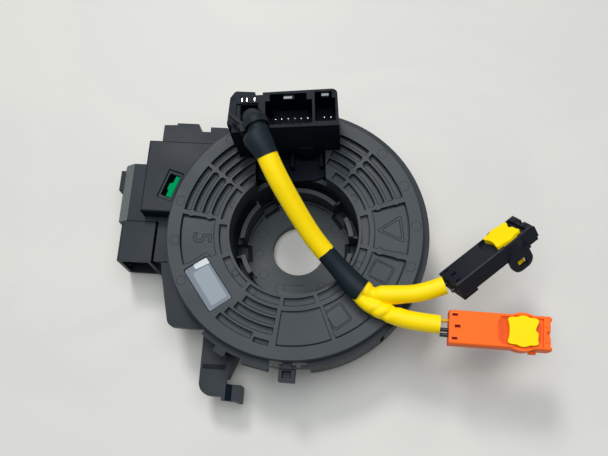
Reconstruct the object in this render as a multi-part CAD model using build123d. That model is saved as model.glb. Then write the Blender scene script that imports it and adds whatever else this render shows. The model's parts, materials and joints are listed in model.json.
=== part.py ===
from build123d import *
import math
import os

# Steering clock spring. Millimetres, +Z towards the steering wheel.
# The origin is on the steering shaft's axis, level with the back face.

# ---------------------------------------------------------------- driving sizes
# Levels, measured up from the back face
FACE_Z = 31.0            # top of the turning disc
FACE_T = 2.8             # its thickness
RING_Z = 27.8            # top of the retaining ring
RING_T = 1.2
SHELF_Z = 20.0           # top of the left-hand wing
COVER_Z = 27.5           # top of the side cover
CORNER_Z = 23.0          # top of the lower-left corner plate
CORNER_T = 4.0
BRACKET_Z = 16.0         # top of the mounting bracket
BRACKET_T = 2.6
FLOOR_Z = 4.7            # top of the floor inside the well
FLOOR_T = 1.5
BLOCK_H = 24.0           # connector block above the disc

# Clearances
RUN_GAP = 0.4            # between the turning side and the fixed side
FIT_GAP = 0.15           # between pieces that stay together
SLIDE_GAP = 0.25         # round a sliding lock

# Round walls, from the bore outwards
BORE_R = 10.8
BORE_WALL = 2.0
SLEEVE_R = 23.0          # outside of the inner sleeve
SLEEVE_WALL = 1.8
SLEEVE_Z = 17.0          # its top
WELL_R = SLEEVE_R + 2.2  # inside of the hub wall
HUB_WALL = 2.0
HUB_R = WELL_R + HUB_WALL
CASE_R = 46.2            # outside of the case wall
CASE_WALL = 1.7
CHAMBER_R = CASE_R - CASE_WALL
SKIRT_GAP = 4.6          # between the case wall and its skirt
SKIRT_WALL = 1.2
SKIRT_R = CASE_R + SKIRT_GAP + SKIRT_WALL
SKIRT_Z = 11.0           # lower edge of the skirt
RIM_R = SKIRT_R + 0.3    # outside of the retaining ring
RIM_STEP = 2.3           # how far the ring shows round the disc
FACE_R = RIM_R - RIM_STEP

# Disc pattern
EDGE = 0.5               # small edge chamfers
SLOT_R = FACE_R - 5.6    # outside of the outermost slot
SLOT_R_IN = HUB_R + 3.5  # inside of the innermost slot
SLOT_ROWS = 4
SLOT_RIB = 1.05          # left between two slots
SLOT_PITCH = (SLOT_R - SLOT_R_IN + SLOT_RIB) / SLOT_ROWS
SLOT_DEPTH = 2.0
PANEL_R = SLOT_R + 0.1
PANEL_R_IN = HUB_R + 4.0
PANEL_DEPTH = 0.8
GROOVE_W = 0.6           # groove round a panel's outer edge
GROOVE_TURN = 1.5        # and along its upper edge, in degrees
GROOVE_DEPTH = 1.9
POCKET_R = HUB_R + 2.0
POCKET_R_IN = WELL_R + 1.0
POCKET_DEPTH = 1.6
RIB_PAD_R = 1.4

# Window in the disc
WINDOW_AT = (-31.3, -22.5)
WINDOW_TURN = -52.7
WINDOW_L = 19.6
WINDOW_W = 10.2
WINDOW_LEDGE = 0.6
LENS_T = 1.0
BACKING_T = 0.3

# Connector block, in its own directions: p across, q outwards
BLOCK_TURN = 5.3
BLOCK_P = (-21.0, 19.1)
BLOCK_Q = (33.3, 48.3)
LOBE_Q = (32.0, 46.9)    # front and back of the left-hand lobe
LOBE_STEP_H = 22.0       # height of the step round the lobe
MAIN_P = (-8.4, 9.2)
MAIN_Q = (34.8, 47.0)
PAIR_P = (10.25, 17.9)
PAIR_Q = (35.2, 47.3)
LEAD_P = (-17.8, -11.0)
LEAD_Q = (33.6, 43.3)
SOCKET_DEPTH = 15.0
PIN_W = 0.64
PIN_PITCH = 2.5
PIN_TIP = 5.6            # pin height above the socket floor
PIN_ROOT = 4.0
PIN_Q = 41.0
BAY_P = (-15.0, 13.0)    # opening in the disc in front of the block
BAY_Q = (20.0, 36.0)
BAY_Z = 21.6             # underside of the block's foot
BAY_T = 1.4

# Flat cable
CABLE_T = 0.35
CABLE_R_IN = HUB_R + 3.2
CABLE_R_OUT = CHAMBER_R - RUN_GAP
CABLE_TURNS = 7.5
CABLE_PITCH = 2 * (CABLE_R_OUT - CABLE_T - CABLE_R_IN) / (2 * CABLE_TURNS - 1)
CABLE_Z = (5.0, 21.0)

# Leads
BOOT_R = 4.0
SLEEVE_LEAD_R = 3.5
TAPE_R = 4.0
BRANCH_R = 3.5
WIRE_R = 0.75

# Plugs
PLUG_L = 35.8
PLUG_W = 12.3
PLUG_H = 7.0
LOCK_S = 26.1            # middle of the lock, from the plug's rear
RECESS_S = 18.4          # rear end of the lock's recess
WIRES_Y = (2.6, -0.8, -2.7)
LOCK_L = 10.6
LOCK_W = 10.9
LOCK_T = 1.9
LOCK_SINK = 1.1          # how deep the lock's plate sits in the housing
LOCK_LEG_W = 2.4
LOCK_LEG_T = 1.6
LOCK_LEG_DEEP = 4.4
LOCK_LEG_Y = LOCK_W / 2 - 2.2
LOCK_LONG_LEG = 12.4     # the leg that reaches behind the ear
LOCK_LONG_LEG_W = 4.2

# Vehicle connector at the lower left
SHELL_X = (-71.4, -57.2)
SHELL_Y = (-12.9, 3.9)
SHELL_Z = (1.0, 21.0)
SHELL_WALL = 1.5
SHELL_BACK = 3.0
SEAM = 0.7               # open seam between the shell and the shelf


# ---------------------------------------------------------------- helpers
def box(x0, x1, y0, y1, z0, z1):
    """A box between two corners."""
    size = Box(x1 - x0, y1 - y0, z1 - z0, align=(Align.MIN, Align.MIN, Align.MIN))
    return Pos(x0, y0, z0) * size


def tube(r_in, r_out, z0, z1):
    """A round wall about the Z axis."""
    outer = Cylinder(r_out, z1 - z0, align=(Align.CENTER, Align.CENTER, Align.MIN))
    inner = Cylinder(r_in, z1 - z0 + 2, align=(Align.CENTER, Align.CENTER, Align.MIN))
    return Pos(0, 0, z0) * (outer - Pos(0, 0, -1) * inner)


def disc(r, z0, z1):
    """A solid disc about the Z axis."""
    return Pos(0, 0, z0) * Cylinder(r, z1 - z0, align=(Align.CENTER, Align.CENTER, Align.MIN))


def sector(r_in, r_out, a0, a1, z0, z1):
    """Part of a round wall, from angle a0 to a1 in degrees."""
    outer = CenterArc((0, 0), r_out, a0, a1 - a0)
    inner = CenterArc((0, 0), r_in, a0, a1 - a0)
    ends = [Line(outer @ 0, inner @ 0), Line(outer @ 1, inner @ 1)]
    return Pos(0, 0, z0) * extrude(make_face([outer, inner] + ends), z1 - z0)


def prism(points, z0, z1, radius=0.0, corners=()):
    """An outline pulled up; the listed corners are rounded."""
    face = make_face(Polyline(*points, close=True))
    if radius:
        near = [face.vertices().sort_by_distance((x, y, 0))[0] for x, y in corners]
        face = fillet(near, radius)
    return Pos(0, 0, z0) * extrude(face, z1 - z0)


def in_block(shape):
    """From the connector block's own directions to the part's."""
    return Rot(0, 0, BLOCK_TURN) * shape


def polar(r, angle, z=0.0):
    """A point at a radius and an angle in degrees."""
    a = math.radians(angle)
    return (r * math.cos(a), r * math.sin(a), z)


def cord(name, points, radius):
    """A round lead along straight runs joined by tangent arcs."""
    p = [Vector(*q) for q in points]
    radii = []
    for a, b, c in zip(p, p[1:], p[2:]):
        turn = math.radians((b - a).get_angle(c - b))
        radii.append(0.45 * min((b - a).length, (c - b).length) / math.tan(turn / 2))
    path = FilletPolyline(*p, radius=radii) if radii else Line(p[0], p[1])
    section = Plane(origin=path @ 0, z_dir=path % 0) * Circle(radius)
    solid = sweep(section, path=path)
    print(name, "radii", [round(r, 1) for r in radii], "length", round(path.length, 2),
          "volume ratio", round(solid.volume / (math.pi * radius**2 * path.length), 4))
    return solid


nodes = {}


# ---------------------------------------------------------------- turning disc
LIP_Z = (2.0, 3.6)       # lip of the back cover, under the hub wall
SLOT_GROUPS = [(52.0, 69.5), (21.9, 49.9), (145.0, 171.0), (121.0, 143.0)]
PANELS = [(-8.5, 19.0), (-43.0, -11.5), (-64.9, -45.5), (-94.2, -67.0), (173.5, 200.5)]
GROOVES = [(19.0 - GROOVE_TURN, 19.0), (-11.5 - GROOVE_TURN, -11.5), (173.5, 173.5 + GROOVE_TURN)]
BOTTOM_SLOTS = [(-127.3, -107.0), (-125.7, -97.0), (-123.5, -97.0), (-121.5, -97.0)]
SHORT_SLOT = (-105.6, -97.8)
POCKETS = [
    (177.0, 201.5), (204.5, 232.5), (235.5, 263.5), (266.5, 291.0), (294.0, 349.5),
    (352.5, 377.0), (21.0, 47.0), (50.0, 60.0), (125.0, 142.0), (145.0, 173.0),
]
RIB_PADS = [
    (1, 20.5), (3, 20.5), (1, -10.0), (3, -10.0), (1, 172.2), (3, 172.2),
    (1, 50.9), (2, 50.9), (3, 50.9), (1, 144.0), (2, 144.0), (3, 144.0),
]    # rib, counted inwards, and angle


def slot_band(row):
    """Inner and outer radius of one row of slots."""
    outer = SLOT_R - row * SLOT_PITCH
    return outer - SLOT_PITCH + SLOT_RIB, outer


def window_plate(length, width, z0, z1, corner=0.8):
    """A rounded plate over the window's place."""
    face = RectangleRounded(length, width, corner)
    place = Pos(WINDOW_AT[0], WINDOW_AT[1], z0) * Rot(0, 0, WINDOW_TURN)
    return place * extrude(face, z1 - z0)


def make_rotor_face():
    under = FACE_Z - FACE_T
    body = disc(FACE_R, under, FACE_Z)
    body = chamfer(body.edges().filter_by(GeomType.CIRCLE).group_by(Axis.Z)[-1], EDGE)
    body += tube(WELL_R, HUB_R, LIP_Z[1] + RUN_GAP, under + 0.5)
    body -= disc(WELL_R, 0, FACE_Z + 1)
    cuts = []
    for a0, a1 in SLOT_GROUPS:
        for row in range(SLOT_ROWS):
            r_in, r_out = slot_band(row)
            cuts.append(sector(r_in, r_out, a0, a1, FACE_Z - SLOT_DEPTH, FACE_Z + 1))
    for row, (a0, a1) in enumerate(BOTTOM_SLOTS):
        r_in, r_out = slot_band(row)
        cuts.append(sector(r_in, r_out, a0, a1, FACE_Z - SLOT_DEPTH, FACE_Z + 1))
    r_in, r_out = slot_band(0)
    cuts.append(sector(r_in + 1.4, r_out + 0.6, *SHORT_SLOT, FACE_Z - SLOT_DEPTH, FACE_Z + 1))
    for a0, a1 in PANELS:
        cuts.append(sector(PANEL_R_IN, PANEL_R, a0, a1, FACE_Z - PANEL_DEPTH, FACE_Z + 1))
        cuts.append(sector(PANEL_R - GROOVE_W, PANEL_R, a0, a1, FACE_Z - GROOVE_DEPTH, FACE_Z))
    for a0, a1 in GROOVES:
        cuts.append(sector(PANEL_R_IN + 1.0, PANEL_R, a0, a1, FACE_Z - GROOVE_DEPTH, FACE_Z))
    for a0, a1 in POCKETS:
        cuts.append(sector(POCKET_R_IN, POCKET_R, a0, a1, FACE_Z - POCKET_DEPTH, FACE_Z + 1))
    for cut in cuts:
        body -= cut
    for rib, angle in RIB_PADS:
        r = SLOT_R - rib * SLOT_PITCH + SLOT_RIB / 2
        body += Pos(*polar(r, angle)) * disc(RIB_PAD_R, under, FACE_Z)
    # frame, ledge and opening of the window
    body += window_plate(WINDOW_L + 2.4, WINDOW_W + 2.4, under, FACE_Z, 1.2)
    body -= window_plate(WINDOW_L, WINDOW_W, FACE_Z - LENS_T - EDGE, FACE_Z + 1)
    body -= window_plate(WINDOW_L - 2 * WINDOW_LEDGE, WINDOW_W - 2 * WINDOW_LEDGE, 0, FACE_Z + 1)
    # bay in front of the connector block
    body -= in_block(box(*BAY_P, *BAY_Q, BAY_Z - FIT_GAP, FACE_Z + 1))
    return body


SNAP_WINDOWS = (-172.0, 0.0, 40.0, 128.0)
LOW_WALL = (-142.0, -104.0)     # stretch of the sleeve's wall that is cut down


def make_hub_sleeve():
    """Inner sleeve: bore, floor, wall with snap windows, seat and the flange under the back cover's lip."""
    r_in = SLEEVE_R - SLEEVE_WALL
    body = tube(BORE_R, BORE_R + BORE_WALL, 0, FLOOR_Z)
    body += tube(BORE_R, SLEEVE_R, FLOOR_Z - FLOOR_T, FLOOR_Z)
    body += tube(r_in, SLEEVE_R, 0.2, SLEEVE_Z)
    body += tube(r_in, HUB_R, 0.2, LIP_Z[0] - RUN_GAP)
    body += tube(r_in, WELL_R - FIT_GAP, 6.0, 8.0)
    body += tube(r_in - 0.8, SLEEVE_R - 1.0, FLOOR_Z - 0.2, FLOOR_Z + 1.2)
    for angle in SNAP_WINDOWS:
        body -= Rot(0, 0, angle) * box(r_in - 2.0, WELL_R, -3.6, 3.6, LIP_Z[0] + 0.2, SLEEVE_Z + 1)
        body += Rot(0, 0, angle) * box(r_in, WELL_R - 0.7, 3.4, 4.2, 6.5, SLEEVE_Z - 2.0)
    # low stretch of the wall with a thin bar left across it
    body -= sector(r_in - 1.0, SLEEVE_R + 0.2, *LOW_WALL, FLOOR_Z + 0.4, SLEEVE_Z + 1)
    body += sector(r_in + 0.4, r_in + 1.2, LOW_WALL[0] - 1, LOW_WALL[1] + 1, 8.6, 10.0)
    # raised bare frame on the floor
    frame = RectangleRounded(9.2, 3.8, 0.4) - RectangleRounded(8.4, 3.0, 0.3)
    body += Pos(-0.3, -16.6, FLOOR_Z - 0.1) * extrude(frame, 0.4)
    return body


def make_window():
    lens = window_plate(WINDOW_L - 0.3, WINDOW_W - 0.3, FACE_Z - LENS_T - EDGE, FACE_Z - EDGE)
    low = FACE_Z - LENS_T - EDGE - BACKING_T
    inset = 2 * WINDOW_LEDGE + 0.3
    backing = window_plate(WINDOW_L - inset, WINDOW_W - inset, low, low + BACKING_T)
    return lens, backing


# ---------------------------------------------------------------- connector block
BLOCK_Z = FACE_Z + BLOCK_H
SOCKET_Z = BLOCK_Z - SOCKET_DEPTH
LEAD_POINTS = [
    (-18.2, 38.2, FACE_Z + 17.0), (-15.8, 35.0, FACE_Z + 29.0), (-12.3, 27.0, FACE_Z + 30.4),
    (-6.6, 15.3, FACE_Z + 27.0), (2.0, 2.6, FACE_Z + 19.2), (9.4, -6.8, FACE_Z + 12.6),
    (19.4, -15.9, FACE_Z + 7.0), (26.9, -22.4, FACE_Z + 5.2),
]


def along(a, b, share):
    """A point on the straight run from a to b."""
    return tuple(u + (v - u) * share for u, v in zip(a, b))


BOOT_END = along(LEAD_POINTS[2], LEAD_POINTS[3], 0.58)
SLEEVE_END = along(LEAD_POINTS[5], LEAD_POINTS[6], 0.30)
BOOT_ROUTE = LEAD_POINTS[:3] + [BOOT_END]
SLEEVE_ROUTE = [BOOT_END] + LEAD_POINTS[3:6] + [SLEEVE_END]
TAPE_ROUTE = [SLEEVE_END] + LEAD_POINTS[6:]


def pin_row(middle, count, pitch):
    """Places of a row of pins across the block."""
    return [middle + (i - (count - 1) / 2) * pitch for i in range(count)]


MAIN_PINS = pin_row(sum(MAIN_P) / 2 + 0.4, 6, PIN_PITCH)
PAIR_PINS = pin_row(sum(PAIR_P) / 2 + 0.6, 2, PIN_PITCH)


def pins(row):
    """Square pins with pointed tips."""
    out = None
    for p in row:
        pin = box(p - PIN_W / 2, p + PIN_W / 2, PIN_Q - PIN_W / 2, PIN_Q + PIN_W / 2,
                  SOCKET_Z - PIN_ROOT, SOCKET_Z + PIN_TIP)
        pin = chamfer(pin.faces().sort_by(Axis.Z)[-1].edges(), PIN_W * 0.3)
        out = pin if out is None else out + pin
    return out


def pin_holes(row):
    """Square holes that the pins' roots fill."""
    out = None
    for p in row:
        hole = box(p - PIN_W / 2, p + PIN_W / 2, PIN_Q - PIN_W / 2, PIN_Q + PIN_W / 2,
                   SOCKET_Z - PIN_ROOT, SOCKET_Z + 1)
        out = hole if out is None else out + hole
    return out


def latch_bump(centre, width, wall):
    """Bump on a socket's far wall, sloped so that a plug snaps under it."""
    top = BLOCK_Z - 1.0
    profile = Polyline((wall + 0.5, top - 5.0), (wall - 1.6, top - 2.6), (wall - 1.6, top - 0.6),
                       (wall + 0.5, top), close=True)
    return Pos(centre - width / 2, 0, 0) * extrude(Plane.YZ * make_face(profile), width)


def make_block_walls():
    """The block above the disc: outline, step round the lobe and front wall below it."""
    p0, p1 = BLOCK_P
    q0, q1 = BLOCK_Q
    front, back = LOBE_Q
    split, notch = LEAD_P[1] + 1.2, -9.3
    outline = [(p0, front), (split, front), (split, q0), (p1, q0), (p1 - 0.4, q1), (notch, q1 - 0.4),
               (notch, back), (p0, back)]
    body = prism(outline, FACE_Z, BLOCK_Z, 2.1, [(p1 - 0.4, q1), (p0, back)])
    step = [(p0 - 2.1, 36.4), (p0 + 1.0, 35.2), (p0 + 1.0, back - 1.0), (-12.4, back - 1.0), (-12.4, 49.2),
            (p0 + 1.1, 49.9), (p0 - 0.9, 47.2)]
    return body + prism(step, FACE_Z, FACE_Z + LOBE_STEP_H, 1.6, [(p0 + 1.1, 49.9)])


def make_block():
    q0 = BLOCK_Q[0]
    body = make_block_walls()
    # sockets with keyed corners
    main = box(*MAIN_P, *MAIN_Q, SOCKET_Z, BLOCK_Z + 1)
    main -= box(MAIN_P[0], MAIN_P[0] + 1.7, MAIN_Q[1] - 2.8, MAIN_Q[1], SOCKET_Z, BLOCK_Z + 1)
    main -= box(MAIN_P[1] - 2.0, MAIN_P[1], MAIN_Q[1] - 2.7, MAIN_Q[1], SOCKET_Z, BLOCK_Z + 1)
    body -= main
    pair = box(*PAIR_P, *PAIR_Q, SOCKET_Z, BLOCK_Z + 1)
    pair -= box(PAIR_P[1] - 1.2, PAIR_P[1], PAIR_Q[1] - 2.8, PAIR_Q[1], SOCKET_Z, BLOCK_Z + 1)
    body -= pair
    body += latch_bump(0.45, 4.1, MAIN_Q[1])
    body += latch_bump(14.1, 2.7, PAIR_Q[1])
    # comb notches in the near lip and slits behind the lead's way out
    for p in MAIN_PINS:
        body -= box(p - 0.9, p + 0.9, MAIN_Q[0] - 0.3, MAIN_Q[0] + 0.1, SOCKET_Z + 6, BLOCK_Z + 1)
    for p in (-17.1, -15.3, -12.4):
        body -= box(p - 0.25, p + 0.25, LEAD_Q[1] + 1.2, LEAD_Q[1] + 2.8, BLOCK_Z - 9, BLOCK_Z + 1)
    body -= pin_holes(MAIN_PINS)
    body -= pin_holes(PAIR_PINS)
    # the lead's way out and a shallow ledge round it
    body -= box(*LEAD_P, *LEAD_Q, BLOCK_Z - 16.0, BLOCK_Z + 1)
    body -= box(LEAD_P[0] - 1.5, LEAD_P[1], LEAD_Q[0] - 0.2, LEAD_Q[1] + 0.4, BLOCK_Z - 0.7, BLOCK_Z + 1)
    # front wall that goes down through the disc, with the latch relief and the bay's floor
    b0, b1 = BAY_P[0] + FIT_GAP, BAY_P[1] - FIT_GAP
    body += box(b0, b1, q0, BAY_Q[1] - FIT_GAP, BAY_Z, FACE_Z + 1)
    floor = [(b0, 25.5), (b0 + 4.5, 24.0), (b1 - 4.5, 24.0), (b1, 25.5), (b1, q0 + 1), (b0, q0 + 1)]
    body += prism(floor, BAY_Z, BAY_Z + BAY_T)
    body += box(3.2, 8.4, q0 - 0.9, q0 + 0.5, BAY_Z + BAY_T, FACE_Z + 5.0)
    body -= box(4.6, 7.0, q0 - 0.5, q0 + 0.2, FACE_Z - 1.0, FACE_Z + 3.0)
    for p in (-1.0, 10.6):
        body += box(p, p + 1.2, q0 - 5.0, q0 + 0.5, BAY_Z, FACE_Z - 3.5)
    body = in_block(body)
    # the boot leans over the lobe's front wall, in a hollow of its own
    for a, b in zip(BOOT_ROUTE, BOOT_ROUTE[1:]):
        way = Plane(origin=a, z_dir=Vector(*b) - Vector(*a))
        length = (Vector(*b) - Vector(*a)).length
        body -= way * Cylinder(BOOT_R + 0.2, length + 1.0, align=(Align.CENTER, Align.CENTER, Align.MIN))
    return body


def make_lead_gland():
    """Grommet in the lobe: its top is square to the lead, which starts there."""
    low = BLOCK_Z - 16.0
    body = in_block(box(LEAD_P[0] + FIT_GAP, LEAD_P[1] - FIT_GAP, LEAD_Q[0] + FIT_GAP, LEAD_Q[1] - FIT_GAP,
                        low, FACE_Z + 24.0))
    way = Plane(origin=BOOT_ROUTE[0], z_dir=Vector(*BOOT_ROUTE[1]) - Vector(*BOOT_ROUTE[0]))
    return body - way * Box(60, 60, 40, align=(Align.CENTER, Align.CENTER, Align.MIN))


def make_turning_lead_block():
    """Holder on the hub wall where the flat cable's inner end is joined."""
    r_in = HUB_R + 0.1
    body = sector(r_in, CABLE_R_IN - 0.6, 78, 102, CABLE_Z[0] + 1, BAY_Z - FIT_GAP)
    for z in range(8, 21, 3):
        body -= sector(CABLE_R_IN - 1.1, CABLE_R_IN, 80, 100, z, z + 1.2)
    return body


# ---------------------------------------------------------------- case
def on_wall(angle):
    """A point inside the thickness of the case wall."""
    return polar(CASE_R - CASE_WALL / 2, angle)[:2]


WING_X = -57.4           # seam between the case and the left-hand housing
WING_OUTLINE = [
    (WING_X, 4.6), (WING_X, 29.4), (-59.4, 29.4), (-59.4, 47.2), (-53.1, 47.5), (-44.6, 47.5),
    (-43.7, 44.9), (-39.5, 44.9), (-39.5, 47.1), (-32.5, 47.1), (-24.0, 38.0), (-40.0, 4.6),
]
BRACKET_OUTLINE = [
    on_wall(-137.0), (-33.7, -36.0), (-33.4, -63.0), (-22.8, -63.0), (-22.9, -56.5), (-20.5, -48.6),
    on_wall(-113.4),
]
BRACKET_WALL = [
    (-22.9, -55.4), (-20.5, -48.6), on_wall(-113.4), on_wall(-116.0), (-22.5, -48.6), (-24.7, -55.4),
]
CORNER_OUTLINE = [
    on_wall(-164.0), (-52.6, -13.4), (-50.8, -21.5), (-49.2, -28.3), (-46.7, -38.4), (-34.0, -38.4),
    on_wall(-129.0),
]
SKIRT_ARC = (-79.5, 75.0)
LEAD_BLOCK_Y = (-2.5, 3.5)
LEAD_BLOCK_Z = (5.0, 17.5)


def make_case():
    inner = CHAMBER_R
    top = RING_Z - RING_T
    body = disc(CASE_R, 0, top)
    # left-hand wing and the flat shelf beside the vehicle connector
    body += prism(WING_OUTLINE, 0, SHELF_Z)
    body += box(-54.0, -44.8, 47.4, 48.5, SHELF_Z - 9.0, SHELF_Z - 0.4)
    shelf = [(SHELL_X[1] + SEAM, 6.0), (-40.0, 6.0), (-40.0, -12.0), (SHELL_X[1] + SEAM, -12.0)]
    body += prism(shelf, SHELF_Z - 2.0, SHELF_Z)
    # strut and post between the shelf and the corner plate
    body += box(-52.6, -49.4, -18.6, -11.0, 3.0, SHELF_Z - 1.0)
    body += prism([(-57.0, -13.0), (-52.0, -15.2), (-52.0, -16.8), (-57.0, -14.4)], 8.0, 10.0)
    # lower-left corner plate
    body += prism(CORNER_OUTLINE, CORNER_Z - CORNER_T, CORNER_Z, 3.2, [(-46.7, -38.4)])
    # mounting bracket with a blind slot, side wall, rib and hooked end
    low = BRACKET_Z - BRACKET_T
    plate = prism(BRACKET_OUTLINE, low, BRACKET_Z, 5.0, [(-33.4, -63.0)])
    plate -= box(-32.6, -23.4, -52.8, -51.0, low + 0.6, BRACKET_Z + 1)
    body += plate
    body += prism(BRACKET_WALL, BRACKET_Z - 10.0, BRACKET_Z)
    body += box(-33.7, -31.9, -49.0, -31.4, 4.0, BRACKET_Z - 1.0)
    sunk = BRACKET_Z - 2.0
    hook = Polyline((-24.2, BRACKET_Z), (-22.8, BRACKET_Z), (-20.6, sunk), (-17.2, sunk), (-17.2, low - 9.4),
                    (-19.0, low - 9.4), (-19.0, low - 1.8), (-24.2, low), close=True)
    body += Pos(0, -58.0, 0) * extrude(Plane.XZ * make_face(hook), 6.4)
    # skirt on the right and below, closed at its foot
    body += sector(SKIRT_R - SKIRT_WALL, SKIRT_R, *SKIRT_ARC, SKIRT_Z, top)
    body += sector(inner + 0.5, SKIRT_R, *SKIRT_ARC, SKIRT_Z, SKIRT_Z + 1.4)
    body += sector(SKIRT_R - SKIRT_WALL, SKIRT_R - 0.4, -83.0, -79.0, SKIRT_Z + 9.0, top)
    for angle in range(-75, 80, 15):
        body += Rot(0, 0, angle) * box(inner + 0.5, SKIRT_R - 0.5, -0.6, 0.6, SKIRT_Z, top)
    for angle in (-46.0, -12.0, 30.0):
        vent = box(SKIRT_R - SKIRT_WALL - 0.5, SKIRT_R + 1, -0.9, 0.9, SKIRT_Z + 2, top + 1)
        body -= Rot(0, 0, angle) * vent
    # cable chamber and the way through for the fixed lead block
    body -= disc(inner, -1, top + 1)
    body -= box(-60.0, 1 - inner, LEAD_BLOCK_Y[0] - FIT_GAP, LEAD_BLOCK_Y[1] + FIT_GAP,
                LEAD_BLOCK_Z[0] - FIT_GAP, LEAD_BLOCK_Z[1] + FIT_GAP)
    return body


def make_back_cover():
    """Ring that closes the chamber, with the lip that holds the turning side in."""
    outer = CHAMBER_R - FIT_GAP
    body = tube(HUB_R + RUN_GAP, outer, 0, LIP_Z[0])
    body += tube(SLEEVE_R + 2 * RUN_GAP + 0.4, HUB_R + 3.0, LIP_Z[0], LIP_Z[1])
    body += tube(outer - 1.4, outer, 0, LIP_Z[1])
    for angle in range(0, 360, 30):
        body += Rot(0, 0, angle) * box(HUB_R + 2.5, outer - 1.0, -0.5, 0.5, LIP_Z[0] - 0.5, LIP_Z[0] + 0.9)
    return body


def make_retaining_ring():
    """Ring over the case wall, with tongues, a clip box and openings along its rim."""
    low = RING_Z - RING_T
    body = tube(CHAMBER_R, CASE_R, low, RING_Z)
    body += sector(CASE_R - 0.5, RIM_R, -128, 96, low, RING_Z)
    for a0, a1 in ((-96.5, -90.5), (-86.6, -80.0)):
        body -= sector(CASE_R + 1.2, RIM_R - 0.55, a0, a1, low - 1, RING_Z + 1)
    # tongue over the bracket, and the broad tongue beside it
    for angle, half, reach, drop in ((-117.6, 2.4, 2.3, 5.4), (-102.0, 5.2, 1.3, 3.6)):
        tongue = box(RIM_R - 1, RIM_R + reach, -half, half, low, RING_Z)
        tongue += box(RIM_R + reach - 1.3, RIM_R + reach, -half, half, low - drop, RING_Z)
        tongue -= box(RIM_R, RIM_R + reach + 1, -1.2, 1.2, low - 2.2, low - 0.8)
        body += Rot(0, 0, angle) * tongue
    # clip box
    clip = box(-1.8, 4.3, -RIM_R - 4.5, -RIM_R + 1.8, low - 5.6, RING_Z - 1.0)
    clip -= box(-0.5, 3.0, -RIM_R - 3.3, -RIM_R - 0.6, low - 2.6, RING_Z)
    body += clip
    return body


def make_left_housing():
    """Moulding at the far left with a sloped outer face and a lug."""
    low, edge = 0.5, SHELF_Z - 3.2
    profile = Polyline((-74.0, low), (-74.0, edge), (-69.7, SHELF_Z), (WING_X, SHELF_Z), (WING_X, low),
                       close=True)
    body = Pos(0, 29.2, 0) * extrude(Plane.XZ * make_face(profile), 29.2 - 4.3)
    body = chamfer(body.edges().filter_by(Axis.Z).group_by(Axis.X)[0].sort_by(Axis.Y)[-1], 0.6)
    body += box(-76.0, -73.6, 18.2, 27.0, SHELF_Z - 10.0, SHELF_Z - 3.4)
    body -= box(-75.1, -74.0, 19.2, 26.0, SHELF_Z - 11.0, SHELF_Z - 4.6)
    return body


COVER_WINDOW_AT = (-51.6, 17.8)
COVER_WINDOW_TURN = 72.4
COVER_RECESS = (12.4, 6.4)
COVER_OPENING = (9.4, 4.4)
RETAINER_H = COVER_Z - SHELF_Z - 0.9


def cover_place(z):
    """Place of the side cover's turned window."""
    return Pos(COVER_WINDOW_AT[0], COVER_WINDOW_AT[1], z) * Rot(0, 0, COVER_WINDOW_TURN)


def make_side_cover():
    body = box(-62.7, -30.0, 6.4, 37.0, SHELF_Z, COVER_Z)
    body -= disc(CASE_R + 0.4, 0, COVER_Z + 1)
    body -= box(-40.0, -20.0, 6.0, 30.0, 0, COVER_Z + 1)
    body = chamfer(body.faces().sort_by(Axis.Z)[-1].edges().filter_by(GeomType.LINE), EDGE)
    body -= cover_place(COVER_Z - 0.6) * extrude(Rectangle(*COVER_RECESS), 2)
    body -= cover_place(SHELF_Z - 1) * extrude(Rectangle(*COVER_OPENING), 12)
    return body


def make_green_retainer():
    """Retainer with a stepped edge in the side cover's window."""
    length, width = COVER_OPENING[0] - 0.4, 2.2
    body = Pos(0, -COVER_OPENING[1] / 2 + 0.15 + width / 2, 0) * extrude(Rectangle(length, width), RETAINER_H)
    body += Pos(-0.4, 0.4, 0) * extrude(Rectangle(2.8, 0.9), RETAINER_H)
    body -= Pos(3.0, 0.0, RETAINER_H - 1.5) * extrude(Rectangle(3.0, 0.9), 5)
    return cover_place(SHELF_Z) * body


def make_vehicle_connector():
    """Socket open towards -Y, with keying ribs inside."""
    x0, x1 = SHELL_X
    y0, y1 = SHELL_Y
    z0, z1 = SHELL_Z
    body = box(x0, x1, y0, y1, z0, z1)
    body = chamfer(body.edges().filter_by(Axis.Y).group_by(Axis.Z)[-1].sort_by(Axis.X)[0], 0.8)
    w = SHELL_WALL
    body -= box(x0 + w, x1 - w, y0 - 1, y1 - SHELL_BACK, z0 + w, z1 - w)
    body += box(x0 + w - 0.1, x0 + w + 1.0, y0 + 1.5, y1 - SHELL_BACK, z0 + 6.0, z0 + 7.4)
    body += box(x1 - w - 1.0, x1 - w + 0.1, y0 + 1.5, y1 - SHELL_BACK, z0 + 12.0, z0 + 13.4)
    for x, z in vehicle_pins():
        body -= box(x - PIN_W / 2, x + PIN_W / 2, y1 - SHELL_BACK - 1, y1 + 1, z - PIN_W / 2, z + PIN_W / 2)
    return body


def vehicle_pins():
    """Places of the fixed side's terminals, two rows of five."""
    x_mid = sum(SHELL_X) / 2
    z_mid = sum(SHELL_Z) / 2
    return [(x_mid + (i - 2) * 2.0, z_mid + side * 2.0) for side in (-1, 1) for i in range(5)]


def make_vehicle_pins():
    out = None
    for x, z in vehicle_pins():
        pin = box(x - PIN_W / 2, x + PIN_W / 2, SHELL_Y[0] + 4.8, SHELL_Y[1], z - PIN_W / 2, z + PIN_W / 2)
        out = pin if out is None else out + pin
    return out


def make_fixed_lead_block():
    """Holder through the case wall where the flat cable's outer end is joined."""
    body = box(SHELL_X[1], -CABLE_R_OUT, *LEAD_BLOCK_Y, *LEAD_BLOCK_Z)
    for z in range(7, 16, 3):
        body -= box(-56.0, -50.0, LEAD_BLOCK_Y[0] - 1, LEAD_BLOCK_Y[0] + 1.0, z, z + 1.2)
    return body


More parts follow.
